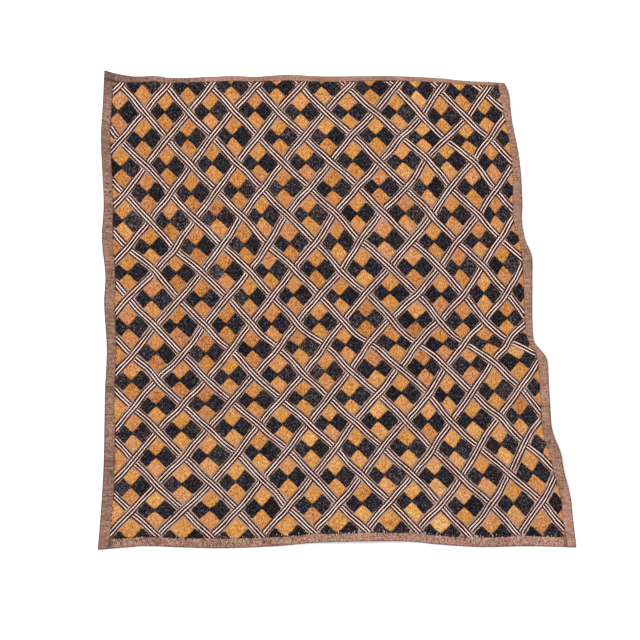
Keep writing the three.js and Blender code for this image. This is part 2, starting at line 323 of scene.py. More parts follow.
def tuckPlaces():  # each crease as side, share down the field, depth
    for side, y, depth in ground["tucks"]:
        run = sides[side]
        share = np.interp(-y, -run["run"][:, 1], run["share"])
        edge = 0.0 if side == "left" else 1.0
        first, last = fieldToPanel(edge, 0.0)[1], fieldToPanel(edge, 1.0)[1]
        yield side, (share - first) / (last - first), depth


def gridLines(inside):  # hem share, field share and whether past the field, line by line
    section = np.array([row[0] for row in ground["hemSection"]])
    hem = np.concatenate([section, np.ones(len(inside)), section[::-1]])
    field = np.concatenate([np.zeros(len(section)), inside, np.ones(len(section))])
    past = np.concatenate([np.zeros(len(section) + len(inside)), np.ones(len(section))])
    return hem, field, past


def linesDown():  # even lines, with four more at each crease
    even = np.linspace(0, 1, ground["linesDown"] + 1)[1:-1]
    steps = np.array([-1.15, -0.4, 0.4, 1.15]) / lattice["fieldSize"][1]
    near = np.concatenate([place + steps for _, place, _ in tuckPlaces()])
    lines = np.sort(np.concatenate([even, near]))
    return lines[np.concatenate([[True], np.diff(lines) > 0.0002])]


def tuckDepth(fieldX, fieldY):
    wide, high = lattice["fieldSize"]
    depth = np.zeros(np.shape(fieldX))
    for side, place, strength in tuckPlaces():
        away = fieldX if side == "left" else 1 - fieldX
        across = np.exp(-((fieldY - place) * high / ground["tuckWidth"]) ** 2)
        depth = depth + strength * across * np.exp(-(away * wide / ground["tuckReach"]) ** 2)
    return depth


def hemPuff(x, y):  # uneven fullness of the turned edge
    return 0.12 * softWaves(x, y, 31, 16) + 0.1 * softWaves(x, y, 32, 42)


def hemTops(hemX, hemY, inHemX, inHemY, topLeft):
    shares, tops, _ = np.array(ground["hemSection"]).T
    plain = ground["thickness"]
    topX = np.where(inHemX, np.interp(hemX, shares, tops), plain)
    topY = np.where(inHemY, np.interp(hemY, shares, tops), plain)
    fullX = np.clip((topX - plain) / ground["hemRise"], 0, 1)
    fullY = np.clip((topY - plain) / ground["hemRise"], 0, 1)
    sideOver = np.maximum(topY, topX + ground["lap"] * fullY)
    endOver = np.maximum(topX, topY + ground["lap"] * fullX)
    corner = np.where(topLeft, endOver, sideOver)  # the top hem crosses the left one
    highest = np.maximum(topX, topY)
    return np.where(inHemX & inHemY, corner, highest), highest


def cornerSeams(hemX, hemY, fieldX, fieldY):  # the upper hem's inner edge, where it crosses the one below
    topLeft = (fieldX == 0) & (fieldY == 0) & (hemY > 0.9)
    others = inBoth(fieldX, fieldY) & ~((fieldX == 0) & (fieldY == 0)) & (hemX > 0.9)
    return (topLeft | others) * 1.0


def inBoth(fieldX, fieldY):
    return ((fieldX == 0) | (fieldX == 1)) & ((fieldY == 0) | (fieldY == 1))


def stainAt(x, y, column):
    return sum(row[column] * fade(np.hypot(x - row[0], y - row[1]), row[2]) for row in ground["stains"])


def makeGround():
    hem, field, past = gridLines(np.linspace(0, 1, ground["linesAcross"] + 1)[1:-1])
    hemDown, fieldDown, pastDown = gridLines(linesDown())
    hemX, hemY = np.meshgrid(hem, hemDown)
    fieldX, fieldY = np.meshgrid(field, fieldDown)
    pastX, pastY = np.meshgrid(past, pastDown)
    across, down = fieldToPanel(fieldX, fieldY)
    across = np.where(pastX > 0, 1 - (1 - across) * hemX, across * np.where(fieldX > 0, 1, hemX))
    down = np.where(pastY > 0, 1 - (1 - down) * hemY, down * np.where(fieldY > 0, 1, hemY))
    x, y = np.moveaxis(panelPoint(across, down), -1, 0)
    inHemX, inHemY = (fieldX == 0) | (fieldX == 1), (fieldY == 0) | (fieldY == 1)
    rim = np.minimum(np.where(inHemX, hemX, 1), np.where(inHemY, hemY, 1))
    shares, tops, unders = np.array(ground["hemSection"]).T
    top, highest = hemTops(hemX, hemY, inHemX, inHemY, (fieldX == 0) & (fieldY == 0))
    top = np.where(rim < 0.2, np.interp(rim, shares, tops) + top - highest, top)
    edge = rim == 0
    top = np.where(edge, tops[0], top)
    fold = tuckDepth(fieldX, fieldY) * np.clip(rim / 0.1, 0, 1)
    fold = fold + ground["seam"] * cornerSeams(hemX, hemY, fieldX, fieldY)
    puff = hemPuff(x, y) * np.clip(rim / 0.2, 0, 1) * np.clip((1 - rim) / 0.05, 0, 1)
    flat = lieHeight(x, y)
    topPoints = np.stack([x, y, flat + top + puff - 0.6 * fold], -1).reshape(-1, 3)
    lowPoints = np.stack([x, y, flat + np.interp(rim, shares, unders)], -1).reshape(-1, 3)
    inner = ~edge.ravel()  # the two faces share the points of the outer edge
    upper = np.arange(edge.size).reshape(edge.shape)
    lower = np.where(edge, upper, edge.size + np.cumsum(inner).reshape(edge.shape) - 1)
    faces = np.concatenate([gridQuads(upper), gridQuads(lower)[:, ::-1]])
    both = lambda grid: np.concatenate([grid.ravel(), grid.ravel()[inner]])
    tone, grain = np.zeros_like(x), np.zeros_like(x)
    parts = {"top": fieldY == 0, "bottom": fieldY == 1, "left": fieldX == 0, "right": fieldX == 1}
    for side, here in parts.items():
        tone = np.where(here, ground["hemTones"][side], tone)
        grain = np.where(here, ground["hemGrain"][side], grain)
    values = {
        "rim": both(rim),
        "hemTone": both(tone + stainAt(x, y, 3)),
        "hemGrain": both(grain),
        "hemMask": both((inHemX | inHemY) * 1.0),
        "ribs": both(inHemX * 1.0),
        # fold depth, also the mask of the painted shade in creases and corner seams
        "fold": both(fold),
        "grey": both(stainAt(x, y, 4)),
        "olive": both(stainAt(x, y, 5)),
    }
    threads = np.stack([both(across) * ground["weave"][0], both(down) * ground["weave"][1]], -1)
    points = np.concatenate([topPoints, lowPoints[inner]])
    return makePiece("raffia_ground", points, [faces], values, threads)


# stem-stitched lines of the bands
bands = {
    "lines": [  # from the band's middle, colour, width, mm
        (-3.6, "dark", 2.0), (-1.84, "pale", 1.36), (0, "dark", 2.5),
        (1.84, "pale", 1.36), (3.6, "dark", 2.0),
    ],
    "height": 0.95,
    "paleLift": 0.22,  # pale lines lie over the edges of the dark
    "stitchLength": 5.6,
    "advance": 3.5,  # from one stitch to the next
    "slant": 0.32,  # how far a stitch runs from one side of its line to the other
    "overHalf": 4.9,  # an under band stops this far from the over band's middle
    "waver": 0.26,  # how far a line strays, mm
    "sway": 0.4,  # how far a whole band strays
    "soften": 4,  # steps each way over which a bend is rounded
    "swaySize": 38,
    "sink": 0.15,
    "samples": 60,  # steps along a band between two gaps
}


def bandPieces():  # each stretch of a band from one gap, over a crossing, to the next gap
    for rising in (True, False):
        for key in range(-20, 38, 2):
            firstRow = -1 if rising else -2
            for row in range(firstRow, 19, 2):
                rows = np.linspace(row, row + 2, bands["samples"])
                columns = key - rows if rising else key + rows
                if columns.max() < -1.5 or columns.min() > 18:
                    continue
                yield rising, columns, rows


def sway(x, y, rising):
    return bands["sway"] * softWaves(x, y, 41 if rising else 42, bands["swaySize"])


def smoothPath(place, reach):  # rounds the bends at the crossings
    padded = [np.pad(line, reach, mode="reflect", reflect_type="odd") for line in place.T]
    weights = np.ones(2 * reach + 1) / (2 * reach + 1)
    return np.stack([np.convolve(line, weights, "valid") for line in padded], -1)


def layStitches():
    rng = np.random.default_rng(5)
    found = {"pale": [], "dark": []}
    for rising, columns, rows in bandPieces():
        across, down = latticeToField(columns, rows)
        place = smoothPath(fieldPoint(across, down), bands["soften"])
        run = np.concatenate([[0], np.cumsum(np.hypot(*np.diff(place, axis=0).T))])
        ahead = np.gradient(place, axis=0)
        ahead /= np.linalg.norm(ahead, axis=1)[:, None]
        for middle, kind, width in bands["lines"]:
            clear = bands["overHalf"] + bands["stitchLength"] * 0.5
            first, last = clear, run[-1] - clear
            count = max(2, int(round((last - first) / bands["advance"])) + 1)
            at = np.linspace(first, last, count) + rng.normal(0, 0.18, count)
            at[0], at[-1] = first + rng.uniform(-0.3, 0.3), last + rng.uniform(-0.3, 0.3)
            a, d = np.interp(at, run, across), np.interp(at, run, down)
            x, y = np.interp(at, run, place[:, 0]), np.interp(at, run, place[:, 1])
            dx, dy = np.interp(at, run, ahead[:, 0]), np.interp(at, run, ahead[:, 1])
            phase = rng.uniform(0, fullTurn)
            waver = bands["waver"] * np.sin(at / rng.uniform(5, 9) + phase) + rng.normal(0, 0.06, count)
            off = middle + waver + sway(x, y, rising)
            inside = (a > -0.002) & (a < 1.002) & (d > -0.002) & (d < 1.002)
            wide = width * rng.uniform(0.92, 1.08, count)
            long = bands["stitchLength"] * rng.uniform(0.92, 1.1, count)
            tone = rng.normal(0, 1, count) + rng.normal(0, 0.6)
            made = np.stack([x - dy * off, y + dx * off, np.arctan2(dy, dx), wide, long, tone], -1)
            found[kind].append(made[inside])
    return {kind: np.concatenate(rows) for kind, rows in found.items()}


def makeStitches(name, stitches, slant, height, lift=0.0):
    x, y, turn, width, length, tone = stitches.T
    rings = np.array([-0.5, -0.36, 0.36, 0.5])
    section = np.array([(-0.5, 0), (-0.27, 0.86), (0.27, 0.86), (0.5, 0)])
    along, aside, up = [], [], []
    for t in rings:
        shape = section if abs(t) < 0.4 else np.array([(0, 0.25)])
        for across, rise in shape:
            along.append(t)
            aside.append(across + slant * t)
            up.append(rise)
    along, aside, up = np.array(along), np.array(aside), np.array(up)
    alongs = along[None] * length[:, None]
    asides = aside[None] * width[:, None]
    px = x[:, None] + alongs * np.cos(turn)[:, None] - asides * np.sin(turn)[:, None]
    py = y[:, None] + alongs * np.sin(turn)[:, None] + asides * np.cos(turn)[:, None]
    pz = lieHeight(px, py) + ground["thickness"] - bands["sink"] + lift + up[None] * height
    tris = [(0, 1 + (k + 1) % 4, 1 + k) for k in range(4)] + [(9, 5 + k, 5 + (k + 1) % 4) for k in range(4)]
    quads = [(1 + k, 1 + (k + 1) % 4, 5 + (k + 1) % 4, 5 + k) for k in range(4)]
    base = np.arange(len(x))[:, None, None] * len(along)
    faces = [(np.array(tris)[None] + base).reshape(-1, 3), (np.array(quads)[None] + base).reshape(-1, 4)]
    uv = np.stack([alongs + x[:, None], asides + y[:, None]], -1).reshape(-1, 2)
    values = {"tone": np.repeat(tone, len(along))}
    return makePiece(name, np.stack([px, py, pz], -1).reshape(-1, 3), faces, values, uv)


# cut-pile lozenges: four to a cell, ochre above and below, black to the sides
pile = {
    "ochreEdge": 4.95,  # from a band's middle to the pile, mm
    "blackEdge": 5.35,
    "bandSpacing": 43.6,
    "meet": -0.035,  # where the four lozenges of a cell meet, left of its middle
    "meetSpread": 0.018,
    "lastMeet": (0.11, 0.03),  # how much lower the bottom row's lozenges meet, left and right
    "leanRows": (7.5, 8.5, 11.2, 12),  # between these rows, at the right, they meet right of it
    "leanColumns": (9, 10.5),
    "leanBack": 1.7,  # how far right of it, against their usual place
    "lastDown": 0.97,  # cells below this share of the field are the bottom row
    "overlap": 0.0012,  # how far pile runs under the hem, as a share of the field
    "steps": 13,
    "height": 1.35,
    "sink": 0.15,
    "roundEdge": 0.8,
    "rimWidth": 2.8,
    "tuft": 0.24,
    "ochreGap": 0.1,  # ochre stops short of the black beside it
    "blackSpread": 0.2,
    "tipReach": 0.4,  # share of a lozenge that its rounded tip takes
    "ochreTip": 0.75,  # how far the tip is drawn back, mm
    "lastTip": 1.5,  # the same in the bottom row, where the tips are blunt
    "blackTip": -0.9,
    "ochreRound": 0.07,
    "blackRound": 0.04,
    "ragged": 0.26,
    "seam": 0.45,  # parting that shows down the middle of some ochre lozenges
    "zones": [  # x, y, reach, ochre tone, ochre redness, black brownness: worn and fresher places
        (-60, 230, 150, 0.2, 0, 0.1), (-150, 130, 130, -0.6, 0.1, 0.5), (125, -50, 90, -0.6, 0.75, 0.1),
        (-160, -30, 150, -0.8, 0.2, 0), (90, -200, 250, 1.3, -0.1, 0), (-180, -230, 170, 1.1, 0, 0),
        (160, 100, 130, 0.1, 0.15, 0.2), (-30, -40, 110, 0.1, 0.1, 0.3), (-225, -100, 45, -0.8, 0.6, 0.3),
        (140, 220, 140, 0.6, 0, 0), (-238, 190, 80, -0.7, 0.15, 0), (-238, 30, 90, -0.7, 0.15, 0),
    ],
}


def cellPlace(column, row):  # the middle of a cell, in shares of the field
    return latticeToField(column * 1.0, row * 1.0)


def meetingPoint(column, row, rng):  # off the cell's middle, in shares of the cell
    turned = np.interp(row, pile["leanRows"], (0, 1, 1, 0)) * np.interp(column, pile["leanColumns"], (0, 1))
    meet = pile["meet"] * (1 - pile["leanBack"] * turned) + rng.normal(0, pile["meetSpread"], 2)
    across, down = cellPlace(column, row)
    lower = mix(pile["lastMeet"], across) if down > pile["lastDown"] else 0
    return meet + np.array([lower, -lower])


def lozenges(black):  # each as its cell, its place in the cell and where the cell's four meet
    rng = np.random.default_rng(21)
    for row in range(-1, 19):
        for column in range(-2, 19):
            if (row + column) % 2 == 0:
                continue
            meet = meetingPoint(column, row, rng)
            hidden = cellPlace(column, row)[0] < 0  # the left hem cuts these to ochre corners
            for right, up in ((0, 1), (1, 0), (0, -1), (-1, 0)):
                isBlack = right != 0 and not (hidden and right > 0)
                if isBlack == black:
                    yield column, row, right, up, meet


def lozengeGrid(column, row, right, up, meet, black, rng):
    n = pile["steps"]
    u, v = np.meshgrid(np.linspace(0, 1, n + 1), np.linspace(0, 1, n + 1))  # 0 at the meeting point
    signA, signB = (1, 1) if right > 0 else (-1, -1) if right < 0 else (-1, 1) if up > 0 else (1, -1)
    spacing = pile["bandSpacing"]
    edge = 0.5 - pile["blackEdge" if black else "ochreEdge"] / spacing
    middleAcross, middleDown = cellPlace(column, row)
    hidden, last = middleAcross < 0, middleDown > pile["lastDown"]
    gap = (-pile["blackSpread"] if black or hidden else pile["ochreGap"]) / spacing
    sizeA, sizeB = edge - signA * meet[0] - gap, edge - signB * meet[1] - gap
    offU, offV = np.abs(2 * u - 1), np.abs(2 * v - 1)
    outer = np.maximum(offU, offV) ** 6
    squeeze = pile["blackRound" if black else "ochreRound"] * offU**5 * offV**5
    squeeze = squeeze * np.clip((u + v) / 0.8, 0, 1)
    tip = pile["blackTip" if black else "lastTip" if last else "ochreTip"] / spacing
    back = tip * np.clip(1 - (u + v) / pile["tipReach"], 0, 1)
    rag = pile["ragged"] / spacing
    a = gap + sizeA * (u - squeeze * (u - 0.5)) + back + rng.normal(0, rag, u.shape) * outer
    b = gap + sizeB * (v - squeeze * (v - 0.5)) + back + rng.normal(0, rag, u.shape) * outer
    a, b = meet[0] + signA * a, meet[1] + signB * b
    x, y = np.moveaxis(latticePoint(column + a + b, row + a - b), -1, 0)
    a = a + u * sway(x, y, True) / spacing  # the edges follow their bands
    b = b + v * sway(x, y, False) / spacing
    across, down = latticeToField(column + a + b, row + a - b)
    fromBand = spacing * np.minimum(sizeA * (1 - u), sizeB * (1 - v))
    fromEdge = np.minimum(fromBand, spacing * np.minimum(sizeA * u, sizeB * v))
    return across, down, fromBand, fromEdge


def loopAround(quads):  # the outer edge of a patch of quads, in order
    edges = {(q[k], q[(k + 1) % 4]) for q in quads.tolist() for k in range(4)}
    follow = {first: last for first, last in edges if (last, first) not in edges}
    loop = [next(iter(follow))]
    while follow[loop[-1]] != loop[0]:
        loop.append(follow[loop[-1]])
    return np.array(loop)


def zoneSum(x, y, column):
    near = [float(fade(math.hypot(x - zone[0], y - zone[1]), zone[2])) for zone in pile["zones"]]
    return sum(zone[column] * share for zone, share in zip(pile["zones"], near))


def makePile(name, black):
    rng = np.random.default_rng(22 if black else 23)
    tops, quads, tris, start = [], [], [], 0
    for column, row, right, up, meet in lozenges(black):
        across, down, fromBand, fromEdge = lozengeGrid(column, row, right, up, meet, black, rng)
        out = (across < 0) | (across > 1) | (down < 0) | (down > 1)
        ids = np.arange(out.size).reshape(out.shape)
        patch = gridQuads(ids)
        patch = patch[~out.ravel()[patch].all(1)]
        if len(patch) == 0:
            continue
        least, most = -pile["overlap"], 1 + pile["overlap"]
        place = fieldPoint(np.clip(across, least, most), np.clip(down, least, most)).reshape(-1, 2)
        grain = rng.uniform(0, 1, out.size)
        parting = 0 if black else pile["seam"] * max(0, rng.normal(0.1, 0.6))
        grain = np.clip(grain - parting * np.eye(out.shape[0]).ravel(), 0, 1)
        rounded = np.sqrt(np.clip(1 - (1 - np.clip(fromEdge / pile["roundEdge"], 0, 1)) ** 2, 0, 1)).ravel()
        rise = pile["height"] * (0.35 + 0.65 * rounded) + pile["tuft"] * (2 * grain - 1)
        surface = lieHeight(place[:, 0], place[:, 1]) + ground["thickness"]
        first, second, third = place[patch[0, :3]]
        if np.cross(second - first, third - second) < 0:
            patch = patch[:, ::-1]
        loop = loopAround(patch)
        feet = out.size + np.arange(len(loop))
        middle = out.size + len(loop)
        x, y = place[loop].mean(0)
        tone = rng.normal(0, 0.5) + (0 if black else zoneSum(x, y, 3))
        red = zoneSum(x, y, 5 if black else 4) + rng.normal(0.15, 0.35)
        rim = np.clip(1 - fromBand.ravel() / pile["rimWidth"], 0, 1)
        body = np.column_stack([place, surface + rise, grain, rim])
        foot = np.column_stack([place[loop], surface[loop] - pile["sink"], grain[loop] * 0, rim[loop]])
        rows = np.concatenate([body, foot, [foot.mean(0)]])
        tops.append(np.column_stack([rows, np.full(len(rows), tone), np.full(len(rows), red)]))
        quads += [patch + start, np.stack([np.roll(loop, -1), loop, feet, np.roll(feet, -1)], -1) + start]
        tris.append(np.stack([np.full(len(loop), middle), np.roll(feet, -1), feet], -1) + start)
        start += middle + 1
    rows, quads, tris = np.concatenate(tops), np.concatenate(quads), np.concatenate(tris)
    used = np.zeros(len(rows), bool)
    used[quads] = True
    used[tris] = True
    renumber = np.cumsum(used) - 1
    rows = rows[used]
    values = {"grain": rows[:, 3], "rim": rows[:, 4], "tone": rows[:, 5], "red": rows[:, 6]}
    return makePiece(name, rows[:, :3], [renumber[quads], renumber[tris]], values)


# hem stitches, and loose fibres where the cut pile frays
trim = {
    "hemStep": 3.1,
    "hemStitch": (2.7, 0.62),  # length and width, mm
    "hemSlant": {"left": 15, "right": 15, "top": 20, "bottom": 60},  # degrees to the edge
    "hemLift": 1.2,
    "hemHeight": 0.45,
    "frayCount": 320,  # along the bottom hem
    "fleckCount": 700,  # over the black pile
    "fibreLift": 1.3,
    "fibreHeight": 0.35,
    "hemFlecks": [  # side, from and to in shares of its length, count, share of pale ones
        ("bottom", 0, 0.45, 600, 0.22), ("bottom", 0.45, 1, 480, 0.55), ("right", 0, 0.55, 170, 0.45),
        ("right", 0.55, 1, 420, 0.65), ("left", 0, 1, 330, 0.35), ("top", 0, 0.25, 110, 0.3),
    ],
    "hemFleckLift": 1.58,
}


def hemStitches():
    rng = np.random.default_rng(61)
    rows = []
    for side, slant in trim["hemSlant"].items():
        upright = side in ("left", "right")
        length = lattice["fieldSize"][1 if upright else 0]
        share = np.arange(trim["hemStep"], length, trim["hemStep"]) / length
        share = share + rng.normal(0, 0.0008, len(share))
        fixed = np.full(len(share), 0.0 if side in ("left", "top") else 1.0)
        point = (lambda t: fieldPoint(fixed, t)) if upright else (lambda t: fieldPoint(t, fixed))
        here, ahead = point(share), point(share + 0.002) - point(share - 0.002)
        turn = np.arctan2(ahead[:, 1], ahead[:, 0]) + np.radians(slant + rng.normal(0, 14, len(share)))
        width = trim["hemStitch"][1] * rng.uniform(0.8, 1.2, len(share))
        reach = trim["hemStitch"][0] * rng.uniform(0.7, 1.25, len(share))
        rows.append(np.column_stack([here, turn, width, reach, rng.normal(0, 1.3, len(share))]))
    return np.concatenate(rows)


def hemFlecks():  # broken fibres on the turned edges
    rng = np.random.default_rng(64)
    found = []
    for side, first, last, count, paleShare in trim["hemFlecks"]:
        share, depth = rng.uniform(first, last, count), rng.uniform(0.12, 0.9, count)
        upright = side in ("left", "right")
        fixed = np.full(count, 0.0 if side in ("left", "top") else 1.0)
        across, down = fieldToPanel(fixed, share) if upright else fieldToPanel(share, fixed)
        if upright:
            across = fixed + (across - fixed) * depth
        else:
            down = fixed + (down - fixed) * depth
        turn = np.radians((0 if upright else 75) + rng.normal(0, 30, count))
        rows = [panelPoint(across, down), turn, rng.uniform(0.4, 0.75, count), rng.uniform(1, 2.6, count)]
        rows += [rng.normal(0, 1.2, count), rng.uniform(0, 1, count) < paleShare]
        found.append(np.column_stack(rows))
    found = np.concatenate(found)
    pale = found[:, 6] > 0
    return found[pale, :6], found[~pale, :6]


def frayedFibres():  # cut ends that lie over the bottom hem, paler towards the right
    rng = np.random.default_rng(62)
    n = trim["frayCount"]
    across = rng.uniform(0.01, 0.99, n)
    here = fieldPoint(across, 1 + rng.normal(0, 0.0025, n))
    rows = np.column_stack([here, np.radians(90 + rng.normal(0, 28, n)), rng.uniform(0.4, 0.7, n),
                            rng.uniform(1.8, 4.2, n), rng.normal(0, 1, n)])
    pale = rng.uniform(0, 1, n) < 0.2 + 0.4 * across
    return rows[pale], rows[~pale]


def pileFlecks():  # paler fibres that show among the black
    rng = np.random.default_rng(63)
    rows = []
    pads = list(lozenges(True))
    for pick in rng.integers(0, len(pads), trim["fleckCount"]):
        across, down, fromBand, fromEdge = lozengeGrid(*pads[pick], True, rng)
        spot = tuple(rng.integers(2, pile["steps"] - 1, 2))
        if not (0.004 < across[spot] < 0.996 and 0.004 < down[spot] < 0.996):
            continue
        here = fieldPoint(across[spot], down[spot])
        turn, width, length = rng.uniform(0, math.pi), rng.uniform(0.3, 0.5), rng.uniform(0.9, 2.4)
        rows.append((*here, turn, width, length, rng.normal(0, 1.5)))
    return np.array(rows)


# materials
studioGain = 1.5  # how much brighter than its own colour a flat cloth comes out under the studio light


def srgb(r, g, b, lift=1.0):
    lin = lambda c: c / 12.92 if c <= 0.04045 else ((c + 0.055) / 1.055) ** 2.4
    return tuple(lin(c / 255) * lift / studioGain for c in (r, g, b)) + (1,)


def addNode(tree, kind, x, y, **settings):
    made = tree.nodes.new(kind)
    made.location = (x, y)
    for key, value in settings.items():
        setattr(made, key, value)
    return made


def startMaterial(name, roughness):
    material = bpy.data.materials.new(name)
    material.use_nodes = True
    tree = material.node_tree
    shader = tree.nodes["Principled BSDF"]
    shader.inputs["Roughness"].default_value = roughness
    shader.inputs["Specular IOR Level"].default_value = 0.08
    return material, tree, shader


def startGroup(name, inputs, outputs):
    group = bpy.data.node_groups.new(name, "ShaderNodeTree")
    for label, kind, value in inputs:
        socket = group.interface.new_socket(label, in_out="INPUT", socket_type=kind)
        if value is not None:
            socket.default_value = value
    for label, kind in outputs:
        group.interface.new_socket(label, in_out="OUTPUT", socket_type=kind)
    return group, addNode(group, "NodeGroupInput", -900, 0), addNode(group, "NodeGroupOutput", 700, 0)


def mathNode(tree, operation, first, second, x=0, y=0, clamp=False):
    made = addNode(tree, "ShaderNodeMath", x, y, operation=operation, use_clamp=clamp)
    for slot, value in zip(made.inputs, (first, second)):
        if isinstance(value, (int, float)):
            slot.default_value = value
        elif value is not None:
            tree.links.new(value, slot)
    return made.outputs[0]


def mixColour(tree, blend, factor, first, second, x=0, y=0):
    made = addNode(tree, "ShaderNodeMix", x, y, data_type="RGBA", blend_type=blend)
    for slot, value in ((made.inputs[0], factor), (made.inputs[6], first), (made.inputs[7], second)):
        if isinstance(value, (int, float, tuple)):
            slot.default_value = value
        else:
            tree.links.new(value, slot)
    return made.outputs[2]


def ramp(tree, source, stops, x=0, y=0):
    made = addNode(tree, "ShaderNodeValToRGB", x, y)
    elements = made.color_ramp.elements
    while len(elements) < len(stops):
        elements.new(0.5)
    for element, (place, colour) in zip(elements, stops):
        element.position = place
        element.color = colour
    tree.links.new(source, made.inputs[0])
    return made.outputs[0]


def attribute(tree, name, x=-900, y=0):
    return addNode(tree, "ShaderNodeAttribute", x, y, attribute_name=name).outputs["Fac"]


def noise(tree, vector, scale, detail, x=0, y=0, rough=0.6):
    made = addNode(tree, "ShaderNodeTexNoise", x, y)
    tree.links.new(vector, made.inputs["Vector"])
    made.inputs["Scale"].default_value = scale
    made.inputs["Detail"].default_value = detail
    made.inputs["Roughness"].default_value = rough
    return made.outputs["Fac"]


def plainWeaveGroup():  # over and under threads of split raffia, from a thread map in mm
    inputs = [("Threads", "NodeSocketVector", None), ("Pitch", "NodeSocketFloat", 1.4)]
    group, given, put = startGroup("plainWeave", inputs, [("Height", "NodeSocketFloat")])
    split = addNode(group, "ShaderNodeSeparateXYZ", -700, 0)
    group.links.new(given.outputs["Threads"], split.inputs[0])
    turn = mathNode(group, "DIVIDE", math.pi, given.outputs["Pitch"], -700, -200)
    warp = mathNode(group, "SINE", mathNode(group, "MULTIPLY", split.outputs[0], turn), None)
    weft = mathNode(group, "SINE", mathNode(group, "MULTIPLY", split.outputs[1], turn), None)
    crossed = mathNode(group, "MULTIPLY", warp, weft)
    thread = mathNode(group, "ABSOLUTE", crossed, None)
    group.links.new(mathNode(group, "POWER", thread, 0.5), put.inputs["Height"])
    return group


def pileGrainGroup():  # cut ends of the pile, as specks with painted shade in the gaps between tufts, lighter at the tips
    inputs = [("Place", "NodeSocketVector", None), ("Tufts", "NodeSocketFloat", 900.0)]
    outputs = [(label, "NodeSocketFloat") for label in ("SpeckAndTuftShade", "Blotch", "Height")]
    group, given, put = startGroup("pileGrain", inputs, outputs)
    rows = addNode(group, "ShaderNodeMapping", -700, 200)
    rows.inputs["Scale"].default_value = (1, 0.45, 1)  # tufts run together down the cloth
    group.links.new(given.outputs["Place"], rows.inputs[0])
    cells = addNode(group, "ShaderNodeTexVoronoi", -500, 200)
    group.links.new(rows.outputs[0], cells.inputs["Vector"])
    group.links.new(given.outputs["Tufts"], cells.inputs["Scale"])
    tip = mathNode(group, "SUBTRACT", 1.0, cells.outputs["Distance"])
    fine = noise(group, rows.outputs[0], 900, 2, -500, -100)
    fineShare = mathNode(group, "MULTIPLY", fine, 0.5)
    for label, tipShare in (("Height", 0.6), ("SpeckAndTuftShade", 0.5)):
        total = mathNode(group, "ADD", mathNode(group, "MULTIPLY", tip, tipShare), fineShare)
        group.links.new(total, put.inputs[label])
    group.links.new(noise(group, given.outputs["Place"], 160, 3, -500, -400), put.inputs["Blotch"])
    return group


def placeGroup(tree, group, x=-400, y=0, **numbers):
    made = addNode(tree, "ShaderNodeGroup", x, y, node_tree=group)
    for key, value in numbers.items():
        made.inputs[key].default_value = value
    return made


def bump(tree, shader, height, strength, distance):
    made = addNode(tree, "ShaderNodeBump", -100, -400)
    made.inputs["Strength"].default_value = strength
    made.inputs["Distance"].default_value = distance
    tree.links.new(height, made.inputs["Height"])
    tree.links.new(made.outputs[0], shader.inputs["Normal"])


def ribNoise(tree, threads, scale, y):
    stretch = addNode(tree, "ShaderNodeMapping", -950, y)
    stretch.inputs["Scale"].default_value = scale
    tree.links.new(threads, stretch.inputs[0])
    return noise(tree, stretch.outputs[0], 1.0, 3, -750, y, 0.7)


# colours of the plain cloth; the tables of plain numbers multiply what lies under them
clothLook = {
    "ribs": [(0.3, srgb(112, 76, 64)), (0.48, srgb(170, 129, 113)), (0.55, srgb(182, 142, 125)),
             (0.72, srgb(222, 186, 170))],
    "hem": srgb(176, 136, 119),
    "field": srgb(224, 190, 174),
    "olive": srgb(136, 110, 80),
    "grey": srgb(106, 86, 82),
    # painted shade: the dark colour laid into the creases and corner seams
    "creaseShade": srgb(78, 50, 42),
    "speck": [(0.3, (0.42, 0.37, 0.35, 1)), (0.5, (0.98, 0.97, 0.96, 1)), (0.72, (1.5, 1.5, 1.5, 1))],
    "hue": [(0.36, (0.9, 0.95, 0.86, 1)), (0.5, (1, 1, 1, 1)), (0.64, (1.06, 0.98, 1.0, 1))],
    # painted shade between the woven threads
    "weaveGapShade": [(0.1, (0.45, 0.4, 0.38, 1)), (0.75, (1, 1, 1, 1))],
    "soil": [(0.35, (0.8, 0.78, 0.74, 1)), (0.62, (1.08, 1.07, 1.07, 1))],
    # painted shade: the hem darkens over its rounded outer edge, and a darker reddish line runs along its
    # inner edge
    "rimShadeAndLine": [(0.0, (0.45, 0.42, 0.4, 1)), (0.07, (0.62, 0.59, 0.57, 1)), (0.15, (1, 1, 1, 1)),
             (0.92, (1, 1, 1, 1)), (0.98, (0.66, 0.58, 0.54, 1))],
    "oliveShare": 0.35,
    "greyShare": 0.7,
    "creaseShadeShare": 0.75,
    "toneStep": 0.25,
}


def shareOf(tree, name, share, x, y):  # a point value, scaled and kept between 0 and 1
    return mathNode(tree, "MULTIPLY", attribute(tree, name, x, y), share, clamp=True)


